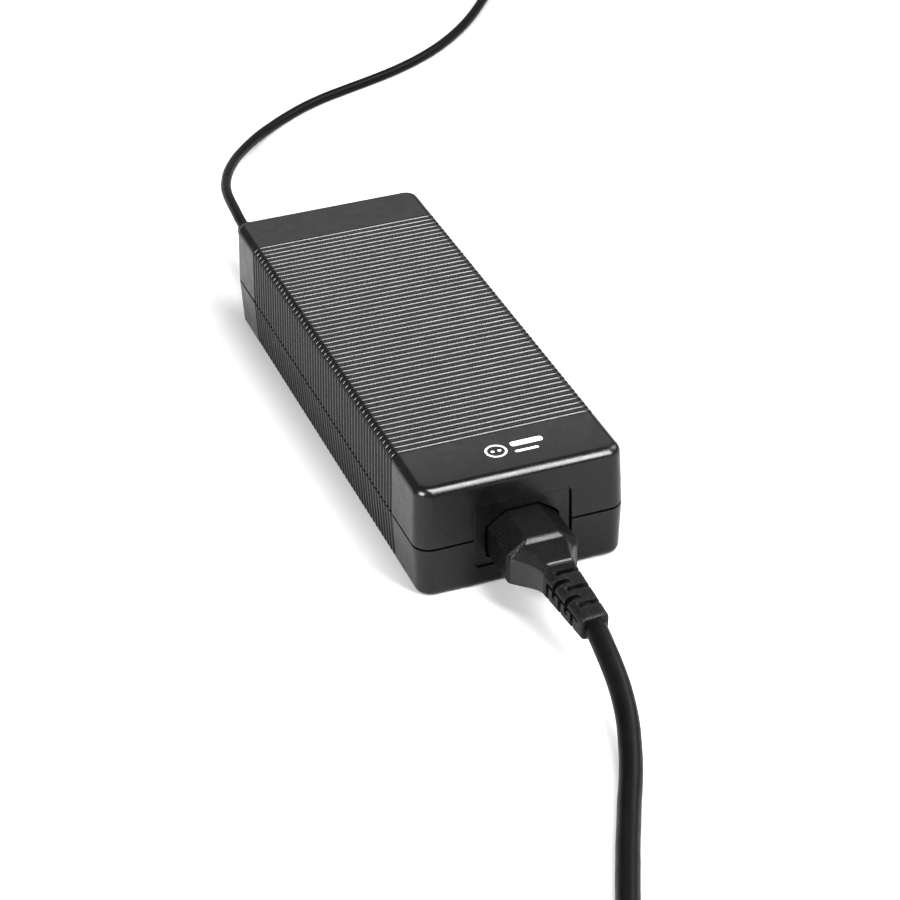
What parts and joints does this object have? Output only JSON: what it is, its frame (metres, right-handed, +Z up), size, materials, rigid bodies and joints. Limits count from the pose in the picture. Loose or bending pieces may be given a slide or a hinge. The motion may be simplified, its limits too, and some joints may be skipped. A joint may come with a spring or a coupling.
{
  "type": "laptop power adapter",
  "caption": "Black ribbed two-shell laptop power brick with a plugged-in three-pin mains lead at one end and a captive low-voltage lead at the other.",
  "frame": {"origin": "centre of the underside of the case, on the surface that the case stands on", "axes": "+Z up, Y along the case with the mains inlet end facing -Y and the low-voltage lead leaving towards +Y, X across the case"},
  "size_m": [0.2507, 0.8075, 0.04],
  "materials": {
    "case_plastic": "satin moulded black plastic, finely ribbed between smooth end bands",
    "label_film": "blank matt silver film",
    "inlet_plastic": "matt black glass-filled plastic",
    "plated_brass": "nickel-plated brass",
    "wire_insulation": "coloured wire insulation",
    "board_laminate": "green solder mask on glass laminate",
    "component_moulding": "matt black moulding compound",
    "film_capacitor": "yellow plastic box",
    "ceramic_coating": "blue dipped ceramic disc",
    "thermistor_coating": "dark green dipped ceramic disc",
    "fuse_moulding": "brown plastic",
    "ferrite": "dark grey sintered ferrite",
    "copper_winding": "enamelled copper wire",
    "capacitor_sleeve": "dark blue shrink sleeve over an aluminium can",
    "heatsink_aluminium": "plain extruded aluminium",
    "screw_steel": "zinc-plated steel",
    "winding_tape": "yellow polyester tape",
    "insulating_card": "varnished insulating card",
    "cord_sheath": "matt black flexible PVC",
    "moulded_pvc": "matt black moulded PVC with a fine grain",
    "tie_strap": "black hook-and-loop strap",
    "plug_insulator": "yellow insulating sleeve"
  },
  "bodies": {
    "adapter": {"upper_shell": "case_plastic", "lower_shell": "case_plastic", "rating_label": "label_film", "inlet_housing": "inlet_plastic", "inlet_line_pin": "plated_brass", "inlet_neutral_pin": "plated_brass", "inlet_earth_pin": "plated_brass", "inlet_wires": "wire_insulation", "circuit_board": "board_laminate", "fuse": "fuse_moulding", "x_capacitor": "film_capacitor", "common_mode_choke": "ferrite", "y_capacitors": "ceramic_coating", "inrush_thermistor": "thermistor_coating", "bridge_rectifier": "component_moulding", "boost_choke": "ferrite", "bulk_capacitor": "capacitor_sleeve", "primary_heatsink": "heatsink_aluminium", "switching_transistors": "component_moulding", "transformer_core": "ferrite", "transformer_winding": "winding_tape", "optocoupler": "component_moulding", "control_chip": "component_moulding", "output_rectifier": "component_moulding", "secondary_heatsink": "heatsink_aluminium", "heatsink_screws": "screw_steel", "output_choke": "copper_winding", "output_capacitors": "capacitor_sleeve", "insulating_sheet": "insulating_card", "output_wires": "wire_insulation", "dc_strain_relief": "moulded_pvc", "dc_cord": "cord_sheath", "dc_cord_coil": "cord_sheath", "dc_cord_tie": "tie_strap", "dc_plug_handle": "moulded_pvc", "dc_plug_barrel": "plated_brass", "dc_plug_insulator": "plug_insulator", "dc_plug_centre_contact": "plated_brass"},
    "mains_lead": {"connector_body": "moulded_pvc", "connector_contacts": "plated_brass", "connector_strain_relief": "moulded_pvc", "mains_cord": "cord_sheath", "mains_cord_coil": "cord_sheath", "mains_cord_tie": "tie_strap", "wall_plug_body": "moulded_pvc", "wall_plug_blades": "plated_brass", "wall_plug_earth_pin": "plated_brass"}
  },
  "joints": [
    {"name": "connector_pull", "type": "slide", "parent": "adapter", "child": "mains_lead", "axis": [0, -1, 0], "range_m": [0, 0.03]}
  ]
}
